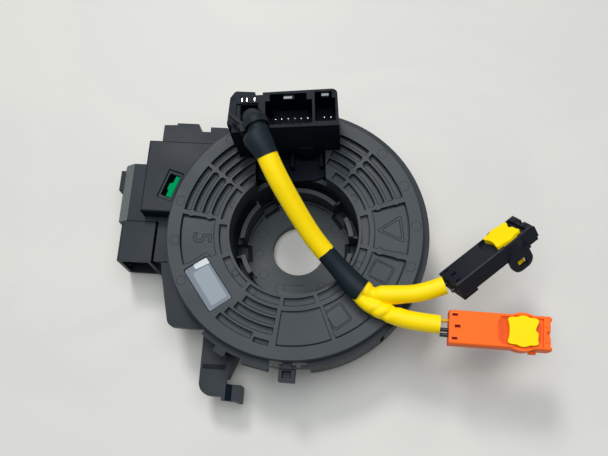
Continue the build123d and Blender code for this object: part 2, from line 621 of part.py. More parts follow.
def make_flat_cable():
    """Ribbon wound in half turns, each a little larger than the last."""
    step = CABLE_PITCH / 2
    halves = int(CABLE_TURNS * 2)
    inner, outer = [], []
    centre, radius = 0.0, CABLE_R_IN
    for i in range(halves):
        start = 0 if i % 2 == 0 else 180
        inner.append(CenterArc((centre, 0), radius, start, 180))
        outer.append(CenterArc((centre, 0), radius + CABLE_T, start, 180))
        centre += step if i % 2 == 0 else -step
        radius += step
    ends = [Line(inner[0] @ 0, outer[0] @ 0), Line(inner[-1] @ 1, outer[-1] @ 1)]
    face = make_face(inner + outer + ends)
    return Pos(0, 0, CABLE_Z[0]) * extrude(face, CABLE_Z[1] - CABLE_Z[0])


# ---------------------------------------------------------------- leads
UPPER_ROUTE = [
    (28.4, -21.6, FACE_Z + 5.0), (32.4, -24.6, FACE_Z + 4.8), (39.0, -25.0, FACE_Z + 4.8),
    (49.6, -22.6, FACE_Z + 5.6), (57.6, -19.2, FACE_Z + 6.7),
]
LOWER_ROUTE = [
    (26.0, -24.2, FACE_Z + 4.6), (30.6, -28.2, FACE_Z + 4.5), (37.8, -31.3, FACE_Z + 4.4),
    (46.6, -33.5, FACE_Z + 4.2), (56.4, -33.9, FACE_Z + 4.0),
]


TIE_TAIL = [(-18.9, 31.0, FACE_Z + 28.7), (-24.4, 35.3, FACE_Z + 27.8)]


def make_cable_tie():
    """Band, head and tail round the boot."""
    a, b = Vector(*BOOT_ROUTE[1]), Vector(*BOOT_ROUTE[2])
    middle = a + (b - a) * 0.52
    place = Plane(origin=middle, x_dir=Vector(-1, 0, 0), z_dir=b - a)
    band = Cylinder(BOOT_R + 0.9, 2.6) - Cylinder(BOOT_R + 0.25, 5)
    head = Pos(BOOT_R + 0.9, 0.4, 0) * Box(2.2, 3.2, 3.2)
    head -= Cylinder(BOOT_R + 0.25, 8)
    start, end = TIE_TAIL
    along_tail = Vector(*end) - Vector(*start)
    tail = Box(along_tail.length, 2.2, 1.0, align=(Align.MIN, Align.CENTER, Align.CENTER))
    upright = along_tail.cross(Vector(0, 0, 1))
    return place * (band + head) + Plane(origin=start, x_dir=along_tail, z_dir=upright) * tail


# ---------------------------------------------------------------- plugs
def wavy_outline(length, width, dip):
    """Closed outline, bulging above and below and hollow at both ends."""
    a, b = length / 2, width / 2
    shoulder = b - 0.8
    quarter = [(a - dip, 0.0), (a - 0.3 * dip, shoulder - 1.7), (a, shoulder - 0.4),
               (a - 0.7, shoulder + 0.1), (0.45 * a, b - 0.5), (0.2 * a, b)]
    upper = quarter + [(-x, y) for x, y in reversed(quarter)]
    lower = [(-x, -y) for x, y in upper[1:-1]]
    return make_face(Spline(*(upper + lower), periodic=True))


def make_plug(with_ear):
    """Housing in its own frame: rear at x 0, mating end at +x, lock side up."""
    half, top = PLUG_W / 2, PLUG_H / 2
    body = Box(PLUG_L, PLUG_W, PLUG_H, align=(Align.MIN, Align.CENTER, Align.CENTER))
    body = fillet(body.edges().filter_by(Axis.X), 0.7)
    # walls that swell round the lock
    for side in (-1, 1):
        foot = side * (half - 0.2)
        swell = ThreePointArc((LOCK_S - 3.9, foot), (LOCK_S, side * (half + 0.8)), (LOCK_S + 3.9, foot))
        flat = Line(swell @ 0, swell @ 1)
        body += Pos(0, 0, -top + 1.2) * extrude(make_face([swell, flat]), PLUG_H - 1.4)
    # recess for the lock, curved at its rear end
    deck = top - LOCK_SINK
    wide = half - 1.0
    rear = ThreePointArc((RECESS_S, -wide), (RECESS_S - 1.5, 0), (RECESS_S, wide))
    sides = Polyline((RECESS_S, wide), (PLUG_L - 2.4, wide), (PLUG_L - 2.4, -wide), (RECESS_S, -wide))
    body -= Pos(0, 0, deck) * extrude(make_face([rear, sides]), LOCK_SINK + 1)
    body -= box(LOCK_S - 3.2, LOCK_S + 3.2, -half + 0.45, half - 0.45, deck, top + 1)
    # slots for the lock's legs
    for side in (-1, 1):
        long_leg = with_ear and side < 0
        deep = PLUG_H if long_leg else LOCK_LEG_DEEP + 0.3
        wide_leg = LOCK_LONG_LEG_W if long_leg else LOCK_LEG_W
        body -= Pos(LOCK_S, side * LOCK_LEG_Y, deck) * Box(
            wide_leg + 2 * SLIDE_GAP, LOCK_LEG_T + 2 * SLIDE_GAP, 2 * deep)
    # gate slots at the rear and the wires' way in
    for x, y, w in ((2.1, 4.3, 0.8), (3.0, 0.0, 1.4), (2.1, -4.3, 0.8)):
        body -= Pos(x, y, top) * Box(2.1, w, 2.0)
    for y in WIRES_Y:
        body -= Pos(-1, y, 0) * Rot(0, 90, 0) * Cylinder(
            WIRE_R + 0.1, 7, align=(Align.CENTER, Align.CENTER, Align.MIN))
    # mating end: terminal cavities, keying notch and small teeth on the corners
    for y in (-2.4, 2.4):
        body -= Pos(PLUG_L + 1, y, -0.4) * Box(9.0, 2.2, 2.2, align=(Align.MAX, Align.CENTER, Align.CENTER))
    body -= Pos(PLUG_L + 0.1, -0.4, top) * Box(1.4, 2.0, 2.6, align=(Align.MAX, Align.CENTER, Align.CENTER))
    for y in (-half + 0.8, half - 0.8):
        body += Pos(PLUG_L - 0.5, y, 0) * Box(1.3, 1.1, 4.4, align=(Align.MIN, Align.CENTER, Align.CENTER))
    for y in (-3.2, 2.4):
        body += Pos(PLUG_L - 1.2, y, top) * Box(1.6, 0.8, 0.5)
    # lug under the swollen wall
    body += Pos(LOCK_S + 4.2, -half, -top + 1.0) * Box(2.6, 1.8, 1.6)
    if with_ear:
        collar = fillet(Box(6.4, PLUG_W - 0.6, 1.6).edges().filter_by(Axis.Y), 0.3)
        body += Pos(3.4, 0, -top - 0.2) * collar
        body += ear_loop(half, top)
    return body


def ear_loop(half, top):
    """Loop under the black plug, with the window that shows the lock's long leg."""
    face = RectangleRounded(9.4, 9.0, 3.4) - Pos(0, -1.4) * Rectangle(3.6, 3.0)
    loop = Rot(90, 0, 0) * extrude(face, 1.6)
    return Pos(LOCK_S, -half + 0.9, -top - 1.6) * loop


def make_lock(dip, with_long_leg):
    """Sliding lock: wavy plate and two legs that run in the housing's slots."""
    deck = PLUG_H / 2 - LOCK_SINK
    plate = Pos(LOCK_S, 0, deck + 0.05) * extrude(wavy_outline(LOCK_L, LOCK_W, dip), LOCK_T)
    for side in (-1, 1):
        long_leg = with_long_leg and side < 0
        deep = LOCK_LONG_LEG if long_leg else LOCK_LEG_DEEP
        wide = LOCK_LONG_LEG_W if long_leg else LOCK_LEG_W
        plate += Pos(LOCK_S, side * LOCK_LEG_Y, deck + 0.3) * Box(
            wide, LOCK_LEG_T, deep, align=(Align.CENTER, Align.CENTER, Align.MAX))
    return plate


def make_contacts():
    """Two sockets seen in the mating end."""
    out = None
    for y in (-2.4, 2.4):
        cell = Pos(PLUG_L - 1.2, y, -0.4) * Box(5.8, 2.0, 2.0, align=(Align.MAX, Align.CENTER, Align.CENTER))
        cell -= Pos(PLUG_L, y, -0.4) * Box(5.0, 1.2, 1.2, align=(Align.MAX, Align.CENTER, Align.CENTER))
        out = cell if out is None else out + cell
    return out


def make_wire(y, start):
    """Short wire from the sleeve's end into the housing."""
    wire = Cylinder(WIRE_R, 5.5 - start, align=(Align.CENTER, Align.CENTER, Align.MIN))
    return Pos(start, y, 0) * Rot(0, 90, 0) * wire


BLACK_ANGLE = 41.9
BLACK_ROLL = 45.5
ORANGE_ANGLE = -0.6
BLACK_PLACE = Pos(59.9, -19.4, FACE_Z + 6.9) * Rot(0, 0, BLACK_ANGLE) * Rot(-BLACK_ROLL, 0, 0)
ORANGE_PLACE = Pos(59.5, -34.4, FACE_Z + 4.0) * Rot(0, 0, ORANGE_ANGLE)


# ---------------------------------------------------------------- all pieces
nodes["stator_case"] = make_case()
nodes["back_cover"] = make_back_cover()
nodes["retaining_ring"] = make_retaining_ring()
nodes["side_cover"] = make_side_cover()
nodes["green_retainer"] = make_green_retainer()
nodes["left_housing"] = make_left_housing()
nodes["vehicle_connector_shell"] = make_vehicle_connector()
nodes["vehicle_connector_pins"] = make_vehicle_pins()
nodes["fixed_lead_block"] = make_fixed_lead_block()
nodes["flat_cable"] = make_flat_cable()

nodes["rotor_face"] = make_rotor_face()
nodes["hub_sleeve"] = make_hub_sleeve()
nodes["window_lens"], nodes["window_backing"] = make_window()
nodes["wheel_connector_block"] = make_block()
nodes["main_connector_pins"] = in_block(pins(MAIN_PINS))
nodes["pair_connector_pins"] = in_block(pins(PAIR_PINS))
nodes["lead_gland"] = make_lead_gland()
nodes["turning_lead_block"] = make_turning_lead_block()

nodes["lead_boot"] = cord("lead_boot", BOOT_ROUTE, BOOT_R)
nodes["cable_tie"] = make_cable_tie()
nodes["main_lead_sleeve"] = cord("main_lead_sleeve", SLEEVE_ROUTE, SLEEVE_LEAD_R)
nodes["split_tape"] = cord("split_tape", TAPE_ROUTE, TAPE_R)
nodes["upper_branch_sleeve"] = cord("upper_branch_sleeve", UPPER_ROUTE, BRANCH_R)
nodes["lower_branch_sleeve"] = cord("lower_branch_sleeve", LOWER_ROUTE, BRANCH_R)

nodes["black_plug_housing"] = BLACK_PLACE * make_plug(True)
nodes["black_plug_lock"] = BLACK_PLACE * make_lock(0.8, True)
nodes["black_plug_contacts"] = BLACK_PLACE * make_contacts()
nodes["black_plug_wires"] = BLACK_PLACE * (make_wire(WIRES_Y[0], -1.6) + make_wire(WIRES_Y[2], -1.6))
nodes["orange_plug_housing"] = ORANGE_PLACE * make_plug(False)
nodes["orange_plug_lock"] = ORANGE_PLACE * make_lock(0.5, False)
nodes["orange_plug_contacts"] = ORANGE_PLACE * make_contacts()
nodes["orange_plug_yellow_wire"] = ORANGE_PLACE * make_wire(WIRES_Y[0], -3.0)
nodes["orange_plug_dark_wires"] = ORANGE_PLACE * (make_wire(WIRES_Y[1], -3.0) + make_wire(WIRES_Y[2], -3.0))

os.makedirs("parts", exist_ok=True)
for name, shape in nodes.items():
    export_step(shape, f"parts/{name}.step")
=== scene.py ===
"""Steering clock spring: a slotted disc turns in a fixed case, with a connector block and two leads."""
import json
import math

import bmesh
import bpy
from mathutils import Matrix, Vector

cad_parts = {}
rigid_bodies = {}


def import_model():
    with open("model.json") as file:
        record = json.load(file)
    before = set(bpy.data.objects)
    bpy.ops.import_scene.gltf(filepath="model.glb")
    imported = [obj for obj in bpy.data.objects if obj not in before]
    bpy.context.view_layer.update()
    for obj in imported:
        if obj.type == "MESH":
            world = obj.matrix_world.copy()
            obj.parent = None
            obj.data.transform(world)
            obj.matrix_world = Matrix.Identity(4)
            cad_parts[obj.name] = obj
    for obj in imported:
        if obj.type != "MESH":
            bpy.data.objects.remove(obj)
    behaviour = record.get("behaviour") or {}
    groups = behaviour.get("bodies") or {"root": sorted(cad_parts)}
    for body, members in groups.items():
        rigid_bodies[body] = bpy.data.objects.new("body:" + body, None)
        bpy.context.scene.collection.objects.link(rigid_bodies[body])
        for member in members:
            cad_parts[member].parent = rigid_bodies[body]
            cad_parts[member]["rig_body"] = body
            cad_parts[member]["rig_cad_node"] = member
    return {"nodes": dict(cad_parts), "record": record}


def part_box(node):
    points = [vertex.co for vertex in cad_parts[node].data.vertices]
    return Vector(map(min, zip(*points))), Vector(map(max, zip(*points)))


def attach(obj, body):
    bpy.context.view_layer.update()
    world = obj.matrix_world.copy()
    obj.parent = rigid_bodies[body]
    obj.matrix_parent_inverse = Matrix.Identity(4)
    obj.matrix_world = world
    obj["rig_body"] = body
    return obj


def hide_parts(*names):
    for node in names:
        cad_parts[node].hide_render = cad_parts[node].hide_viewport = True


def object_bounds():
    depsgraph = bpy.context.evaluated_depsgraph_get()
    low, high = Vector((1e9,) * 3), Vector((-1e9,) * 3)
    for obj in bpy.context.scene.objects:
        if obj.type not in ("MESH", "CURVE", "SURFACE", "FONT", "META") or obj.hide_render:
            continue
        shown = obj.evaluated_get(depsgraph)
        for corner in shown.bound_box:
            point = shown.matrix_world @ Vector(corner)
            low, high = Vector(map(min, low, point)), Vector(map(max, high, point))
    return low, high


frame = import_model()
cad_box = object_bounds()
MM = 0.001


# ---------------------------------------------------------------- camera, floor and light
# The part lies on a pale stone bench, lit by a window beyond it, a broad soft ceiling and a
# weak fill from the left, and is seen from above and a little in front.
EYE = Vector((30.2, -90.2, 332.2)) * MM
CAMERA_TILT = (-0.301, 0.064, -0.076)
LENS_MM = 48.4
SENSOR_MM = 36.0
FLOOR_SIZE = 1.6
FLOOR_LIGHT = (0.62, 0.593, 0.555, 1)
FLOOR_SHADE = (0.60, 0.575, 0.54, 1)
ROOM_COLOR = (0.80, 0.92, 1.0, 1)
ROOM_STRENGTH = 0.19
# name, place and width in metres, watts, colour
LAMPS = [
    ("window_light", (-0.34, 0.90, 1.40), 0.4, 11.5, (1.0, 0.985, 0.96)),
    ("ceiling_light", (0.08, 0.08, 1.5), 1.4, 17.5, (0.93, 0.98, 1.0)),
    ("left_fill", (-1.30, 0.10, 0.60), 0.5, 2.0, (0.98, 0.99, 1.0)),
]


def add_camera():
    data = bpy.data.cameras.new("eye")
    data.lens = LENS_MM
    data.sensor_width = SENSOR_MM
    camera = bpy.data.objects.new("eye", data)
    bpy.context.scene.collection.objects.link(camera)
    flip = Matrix.Diagonal((1, -1, -1))
    x, y, z = CAMERA_TILT
    seen = Matrix.Rotation(x, 3, "X") @ Matrix.Rotation(y, 3, "Y") @ flip @ Matrix.Rotation(z, 3, "Z")
    axes = Matrix((seen[0], -seen[1], -seen[2])).transposed()
    camera.matrix_world = Matrix.Translation(EYE) @ axes.to_4x4()
    bpy.context.scene.camera = camera


def add_lamp(name, place, width, power, color):
    data = bpy.data.lights.new(name, "AREA")
    data.shape = "DISK"
    data.size = width
    data.energy = power
    data.color = color
    lamp = bpy.data.objects.new(name, data)
    bpy.context.scene.collection.objects.link(lamp)
    lamp.location = place
    lamp.rotation_euler = (-Vector(place)).to_track_quat("-Z", "Y").to_euler()


def new_material(name):
    """A node material: its data block, its tree and its Principled BSDF."""
    material = bpy.data.materials.new(name)
    material.use_nodes = True
    tree = material.node_tree
    return material, tree, tree.nodes["Principled BSDF"]


def bench_stone():
    """Polished stone with soft, slightly darker veins."""
    material, tree, shader = new_material("bench_stone")
    place = tree.nodes.new("ShaderNodeTexCoord")
    veins = tree.nodes.new("ShaderNodeTexNoise")
    veins.inputs["Scale"].default_value = 9
    veins.inputs["Detail"].default_value = 6
    veins.inputs["Distortion"].default_value = 2.2
    ramp = tree.nodes.new("ShaderNodeValToRGB")
    dark, pale = ramp.color_ramp.elements
    dark.position = 0.42
    dark.color = FLOOR_SHADE
    pale.position = 0.55
    pale.color = FLOOR_LIGHT
    tree.links.new(place.outputs["Object"], veins.inputs["Vector"])
    tree.links.new(veins.outputs["Fac"], ramp.inputs["Fac"])
    tree.links.new(ramp.outputs["Color"], shader.inputs["Base Color"])
    shader.inputs["Roughness"].default_value = 0.5
    return material


def add_floor():
    bpy.ops.mesh.primitive_grid_add(x_subdivisions=8, y_subdivisions=8, size=FLOOR_SIZE,
                                    location=(0, 0, cad_box[0].z))
    floor = bpy.context.object
    floor.name = "bench"
    floor.data.materials.append(bench_stone())


def add_room():
    scene = bpy.context.scene
    scene.view_settings.view_transform = "Standard"
    scene.world = bpy.data.worlds.new("room")
    scene.world.use_nodes = True
    background = scene.world.node_tree.nodes["Background"]
    background.inputs["Color"].default_value = ROOM_COLOR
    background.inputs["Strength"].default_value = ROOM_STRENGTH


add_camera()
add_floor()
add_room()
for lamp in LAMPS:
    add_lamp(*lamp)


# ---------------------------------------------------------------- fixed case
# The case and its bracket are moulded in black plastic, and its ring and covers snap on. The
# skin has a fine grain and cloudy gloss, and each edge a small radius that catches the light.
nodes = frame["nodes"]
record = frame["record"]
body_of = {node: body for body, members in record["behaviour"]["bodies"].items() for node in members}
BRACKET_SLOT_CENTRE = (-28.0, -51.9, 15.1)
BRACKET_SLOT_SIZE = (9.0, 1.7, 1.6)
CASE_EDGE = 0.25
RING_EDGE = 0.15
COVER_EDGE = 0.3
# points nearer than this are one point, and faces that turn less than this are one face
SAME_POINT = 0.002 * MM
SAME_FACE = math.radians(0.6)
# an edge is rounded if it turns more than the first of these, and shaded smooth below the second
SHARP_EDGE = math.radians(32)
SMOOTH_EDGE = math.radians(38)


def moulded_skin_group():
    """Colour, roughness and normal of a moulded skin, on object coordinates."""
    group = bpy.data.node_groups.new("moulded_skin", "ShaderNodeTree")
    face = group.interface
    face.new_socket("Color", in_out="INPUT", socket_type="NodeSocketColor")
    for name in ("Roughness", "Mottle", "Grain scale", "Grain depth"):
        face.new_socket(name, in_out="INPUT", socket_type="NodeSocketFloat")
    face.new_socket("Color", in_out="OUTPUT", socket_type="NodeSocketColor")
    face.new_socket("Roughness", in_out="OUTPUT", socket_type="NodeSocketFloat")
    face.new_socket("Normal", in_out="OUTPUT", socket_type="NodeSocketVector")
    new = group.nodes.new
    link = group.links.new
    given = new("NodeGroupInput")
    out = new("NodeGroupOutput")
    place = new("ShaderNodeTexCoord")
    cloud = new("ShaderNodeTexNoise")
    cloud.inputs["Scale"].default_value = 55
    cloud.inputs["Detail"].default_value = 5
    grain = new("ShaderNodeTexNoise")
    grain.inputs["Detail"].default_value = 2
    link(place.outputs["Object"], cloud.inputs["Vector"])
    link(place.outputs["Object"], grain.inputs["Vector"])
    link(given.outputs["Grain scale"], grain.inputs["Scale"])
    centred = new("ShaderNodeMath")
    centred.operation = "SUBTRACT"
    centred.inputs[1].default_value = 0.5
    link(cloud.outputs["Fac"], centred.inputs[0])
    amount = new("ShaderNodeMath")
    amount.operation = "MULTIPLY_ADD"
    amount.inputs[2].default_value = 1.0
    link(centred.outputs[0], amount.inputs[0])
    link(given.outputs["Mottle"], amount.inputs[1])
    shade = new("ShaderNodeVectorMath")
    shade.operation = "SCALE"
    link(given.outputs["Color"], shade.inputs[0])
    link(amount.outputs[0], shade.inputs["Scale"])
    link(shade.outputs[0], out.inputs["Color"])
    gloss = new("ShaderNodeMath")
    gloss.operation = "MULTIPLY_ADD"
    gloss.inputs[1].default_value = 0.22
    link(centred.outputs[0], gloss.inputs[0])
    link(given.outputs["Roughness"], gloss.inputs[2])
    link(gloss.outputs[0], out.inputs["Roughness"])
    bump = new("ShaderNodeBump")
    bump.inputs["Distance"].default_value = 0.2 * MM
    link(given.outputs["Grain depth"], bump.inputs["Strength"])
    link(grain.outputs["Fac"], bump.inputs["Height"])
    link(bump.outputs["Normal"], out.inputs["Normal"])
    return group


moulded_skin = moulded_skin_group()


def moulded(name, color, roughness=0.5, mottle=0.3, grain_scale=2600, grain_depth=0.05, sheen=0.4):
    """A moulded plastic, rubber, tape or metal of one colour."""
    material, tree, shader = new_material(name)
    skin = tree.nodes.new("ShaderNodeGroup")
    skin.node_tree = moulded_skin
    skin.inputs["Color"].default_value = (*color, 1)
    skin.inputs["Roughness"].default_value = roughness
    skin.inputs["Mottle"].default_value = mottle
    skin.inputs["Grain scale"].default_value = grain_scale
    skin.inputs["Grain depth"].default_value = grain_depth
    shader.inputs["Specular IOR Level"].default_value = sheen
    tree.links.new(skin.outputs["Color"], shader.inputs["Base Color"])
    tree.links.new(skin.outputs["Roughness"], shader.inputs["Roughness"])
    tree.links.new(skin.outputs["Normal"], shader.inputs["Normal"])
    return material


def paint(piece, material):
    piece.data.materials.clear()
    piece.data.materials.append(material)


def only(piece):
    """Selects one object and makes it active."""
    bpy.ops.object.select_all(action="DESELECT")
    piece.select_set(True)
    bpy.context.view_layer.objects.active = piece


def apply_modifiers(piece):
    only(piece)
    for modifier in list(piece.modifiers):
        bpy.ops.object.modifier_apply(modifier=modifier.name)


def soften_edges(node, radius_mm, material):
    """A copy of a rigid node with its moulded edge radius, which stands for the node."""
    source = nodes[node]
    piece = source.copy()
    piece.data = source.data.copy()
    piece.name = node + "_moulding"
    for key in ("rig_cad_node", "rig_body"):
        if key in piece:
            del piece[key]
    piece.parent = None
    bpy.context.scene.collection.objects.link(piece)
    only(piece)
    bpy.ops.object.mode_set(mode="EDIT")
    bpy.ops.mesh.select_all(action="SELECT")
    bpy.ops.mesh.remove_doubles(threshold=SAME_POINT)
    bpy.ops.mesh.dissolve_limited(angle_limit=SAME_FACE)
    bpy.ops.mesh.vert_connect_concave()
    bpy.ops.object.mode_set(mode="OBJECT")
    bevel = piece.modifiers.new("edge_radius", "BEVEL")
    bevel.width = radius_mm * MM
    bevel.segments = 2
    bevel.limit_method = "ANGLE"
    bevel.angle_limit = SHARP_EDGE
    bevel.miter_outer = "MITER_ARC"
    apply_modifiers(piece)
    only(piece)
    bpy.ops.object.shade_smooth_by_angle(angle=SMOOTH_EDGE)
    flatten = piece.modifiers.new("flat_faces", "WEIGHTED_NORMAL")
    flatten.keep_sharp = True
    apply_modifiers(piece)
    paint(piece, material)
    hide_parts(node)
    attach(piece, body_of[node])


def keep_node(node, material):
    """Paints a small or hidden node, which stays as it comes from the CAD."""
    paint(nodes[node], material)


def join_as(name, pieces, material, node):
    """Joins pieces to one mesh at the part's origin, which goes with a node's body."""
    bpy.ops.object.select_all(action="DESELECT")
    for piece in pieces:
        piece.select_set(True)
    bpy.context.view_layer.objects.active = pieces[0]
    bpy.ops.object.convert(target="MESH")
    if len(pieces) > 1:
        bpy.ops.object.join()
    bpy.ops.object.transform_apply(location=True, rotation=True, scale=True)
    joined = bpy.context.object
    joined.name = name
    paint(joined, material)
    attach(joined, body_of[node])


def plate(centre, size, turn=0.0):
    """A small block, in millimetres, turned about the vertical by an angle in degrees."""
    bpy.ops.mesh.primitive_cube_add(size=1, location=Vector(centre) * MM, rotation=(0, 0, math.radians(turn)))
    block = bpy.context.object
    block.scale = Vector(size) * MM
    return block


case_black = moulded("case_black", (0.000, 0.005, 0.012), sheen=0.3)
# the grey of small moulded marks, also used for dark plates and lines of painted shade
mark_and_shade_grey = moulded("mark_and_shade_grey", (0.002, 0.005, 0.010), roughness=0.6, sheen=0.15)
soften_edges("stator_case", CASE_EDGE, case_black)
soften_edges("retaining_ring", RING_EDGE, case_black)
soften_edges("side_cover", COVER_EDGE, case_black)
keep_node("back_cover", case_black)
# painted shade: a dark plate lies in the bracket's narrow slot, which is deep and holds no light
join_as("bracket_slot_shade", [plate(BRACKET_SLOT_CENTRE, BRACKET_SLOT_SIZE)], mark_and_shade_grey, "stator_case")


# ---------------------------------------------------------------- case connectors and cable
# The vehicle's harness plugs into a black shell with tin pins, beside a housing whose sloped
# face carries painted light. A green retainer locks the pins, and the wound cable joins them inside.
SLOPE_CENTRE = (-71.8, 16.7)
SLOPE_SIZE = (4.2, 24.7)
SLOPE_PAINTED_LIGHT = (0.11, 0.12, 0.12)
HOUSING_EDGE = 0.3
SHELL_EDGE = 0.2


def patch_group():
    """A mask that is 1 inside a turned rectangle with round corners, above a height."""
    group = bpy.data.node_groups.new("patch", "ShaderNodeTree")
    face = group.interface
    for name in ("Centre", "Half size"):
        face.new_socket(name, in_out="INPUT", socket_type="NodeSocketVector")
    for name in ("Turn", "Corner", "Lowest"):
        face.new_socket(name, in_out="INPUT", socket_type="NodeSocketFloat")
    face.new_socket("Mask", in_out="OUTPUT", socket_type="NodeSocketFloat")
    given = group.nodes.new("NodeGroupInput")
    place = group.nodes.new("ShaderNodeTexCoord")
    before = place.outputs["Object"]
    steps = (("SUBTRACT", "Centre"), ("MULTIPLY", (1, 1, 0)), ("ROTATE", None), ("ABSOLUTE", None),
             ("SUBTRACT", "Half size"), ("MAXIMUM", (0, 0, 0)), ("LENGTH", None))
    for operation, other in steps:
        if operation == "ROTATE":
            step = group.nodes.new("ShaderNodeVectorRotate")
            step.rotation_type = "Z_AXIS"
            group.links.new(given.outputs["Turn"], step.inputs["Angle"])
        else:
            step = group.nodes.new("ShaderNodeVectorMath")
            step.operation = operation
            if isinstance(other, str):
                group.links.new(given.outputs[other], step.inputs[1])
            elif other:
                step.inputs[1].default_value = other
        group.links.new(before, step.inputs[0])
        before = step.outputs["Value" if operation == "LENGTH" else "Vector"]
    inside = group.nodes.new("ShaderNodeMath")
    inside.operation = "LESS_THAN"
    group.links.new(before, inside.inputs[0])
    group.links.new(given.outputs["Corner"], inside.inputs[1])
    height = group.nodes.new("ShaderNodeSeparateXYZ")
    group.links.new(place.outputs["Object"], height.inputs["Vector"])
    above = group.nodes.new("ShaderNodeMath")
    above.operation = "GREATER_THAN"
    group.links.new(height.outputs["Z"], above.inputs[0])
    group.links.new(given.outputs["Lowest"], above.inputs[1])
    both = group.nodes.new("ShaderNodeMath")
    both.operation = "MULTIPLY"
    group.links.new(inside.outputs[0], both.inputs[0])
    group.links.new(above.outputs[0], both.inputs[1])
    out = group.nodes.new("NodeGroupOutput")
    group.links.new(both.outputs[0], out.inputs["Mask"])
    return group


patch = patch_group()


def tint(material, color, places, turn, size, corner=0.1, lowest=0.0):
    """Lays rounded rectangles of another colour on a moulded material, all above a height in mm."""
    tree = material.node_tree
    shader = tree.nodes["Principled BSDF"]
    for x, y in places:
        mask = tree.nodes.new("ShaderNodeGroup")
        mask.node_tree = patch
        mask.inputs["Centre"].default_value = (x * MM, y * MM, 0)
        mask.inputs["Turn"].default_value = -math.radians(turn)
        mask.inputs["Half size"].default_value = [(length / 2 - corner) * MM for length in size] + [0]
        mask.inputs["Corner"].default_value = corner * MM
        mask.inputs["Lowest"].default_value = lowest * MM
        mix = tree.nodes.new("ShaderNodeMix")
        mix.data_type = "RGBA"
        mix.inputs["B"].default_value = (*color, 1)
        tree.links.new(mask.outputs["Mask"], mix.inputs["Factor"])
        tree.links.new(shader.inputs["Base Color"].links[0].from_socket, mix.inputs["A"])
        tree.links.new(mix.outputs["Result"], shader.inputs["Base Color"])


housing_black = moulded("housing_black", (0.000, 0.005, 0.012), sheen=0.3)
# painted light: a paler patch on the housing's sloped face
tint(housing_black, SLOPE_PAINTED_LIGHT, [SLOPE_CENTRE], 0.0, SLOPE_SIZE)
retainer_green = moulded("retainer_green", (0.0, 0.26, 0.085), sheen=0.0)
cable_amber = moulded("cable_amber", (0.05, 0.028, 0.012), roughness=0.4)
block_black = moulded("block_black", (0.000, 0.003, 0.009), sheen=0.13)
pin_tin = moulded("pin_tin", (0.75, 0.73, 0.68), roughness=0.28)
pin_tin.node_tree.nodes["Principled BSDF"].inputs["Metallic"].default_value = 1.0
soften_edges("left_housing", HOUSING_EDGE, housing_black)
soften_edges("vehicle_connector_shell", SHELL_EDGE, case_black)
keep_node("green_retainer", retainer_green)
keep_node("vehicle_connector_pins", pin_tin)
keep_node("fixed_lead_block", block_black)
keep_node("flat_cable", cable_amber)


# ---------------------------------------------------------------- disc and hub
# The grey disc is moulded with slots, pockets and panels round a deep well. Ejector pins leave
# faint rings on it, and a plain 5, a triangle and two plain frames stand in its panels.
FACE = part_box("rotor_face")[1].z / MM
PANEL_FLOOR = FACE - 0.8
WELL_FLOOR = 4.7
DISC_EDGE = 0.14
# the lines' half widths
MARK_LINE = 0.06
FIGURE_LINE = 0.11
SHADE_LINE = 0.11
# painted shade lines run between two distances from the axle, on level edges that turn by this many radians
SHADE_LINES_FROM = 29.0
SHADE_LINES_TO = 48.5
LEVEL_WITHIN = 0.01
STEEP_EDGE = 1.0
# radii of the ejector pins
LARGE_PIN = 1.9
SMALL_PIN = 1.4
RIM_MARKS = [
    (32.5, 34.1), (41.7, 21.1), (-28.4, 37.3), (-45.7, 10.4),
    (-46.1, -6.0), (-41.7, -21.7), (46.9, 4.9), (45.4, -11.3),
]
POCKET_MARKS = [(-24.7, 10.1), (-17.8, 19.7), (22.2, 15.5), (25.7, -11.5), (-21.2, -17.1), (-13.9, -24.1)]
FLOOR_MARKS = [(-15.5, 6.1), (-16.2, -2.7), (-13.5, -11.1), (-6.4, -16.7), (14.6, 10.1), (10.8, -15.2)]
FIVE_AT = (-39.0, -1.7)
FIVE_SIZE = 10.2
FIGURE_CORNER = 1.2
TRIANGLE = [(31.9, 2.6), (40.9, 9.2), (42.7, -1.8)]
UPPER_FRAME = [(32.0, -8.6), (39.6, -12.0), (36.6, -18.8), (29.0, -15.4)]
LOWER_FRAME = [(19.6, -26.2), (24.6, -32.4), (18.4, -37.4), (13.4, -31.2)]
TRIANGLE_INNER = 0.74
FRAME_INNER = 0.84
# the cover's hooks close the hub's snap windows
HOOK_ANGLES = (-172, 0, 40, 128)
HOOK_REACH = 20.2
HOOK_HEIGHT = 3.6
HOOK_SIZE = (1.9, 7.1, 0.7)


def ring_mark(x, y, z, radius):
    """The faint ring that an ejector pin leaves."""
    bpy.ops.mesh.primitive_torus_add(major_segments=36, minor_segments=6, major_radius=radius * MM,
                                     minor_radius=MARK_LINE * MM, location=(x * MM, y * MM, z * MM))
    return bpy.context.object


def edge_shade_lines():
    """Painted shade: thin dark lines along the top edges of the disc's slots, pockets and panels."""
    build = bmesh.new()
    build.from_mesh(nodes["rotor_face"].data)
    bmesh.ops.remove_doubles(build, verts=build.verts, dist=SAME_POINT)
    bmesh.ops.dissolve_limit(build, angle_limit=SAME_FACE, verts=build.verts, edges=build.edges)
    spare = []
    for edge in build.edges:
        level = all(abs(vertex.co.z - FACE * MM) < LEVEL_WITHIN * MM for vertex in edge.verts)
        inner = all(SHADE_LINES_FROM * MM < vertex.co.xy.length < SHADE_LINES_TO * MM for vertex in edge.verts)
        if not (level and inner and edge.is_manifold and edge.calc_face_angle() > STEEP_EDGE):
            spare.append(edge)
    bmesh.ops.delete(build, geom=spare, context="EDGES_FACES")
    mesh = bpy.data.meshes.new("edge_shade_lines")
    build.to_mesh(mesh)
    build.free()
    lines = bpy.data.objects.new("edge_shade_lines", mesh)
    bpy.context.scene.collection.objects.link(lines)
    only(lines)
    bpy.ops.object.convert(target="CURVE")
    lines.data.bevel_depth = SHADE_LINE * MM
    lines.data.bevel_resolution = 1
    return lines


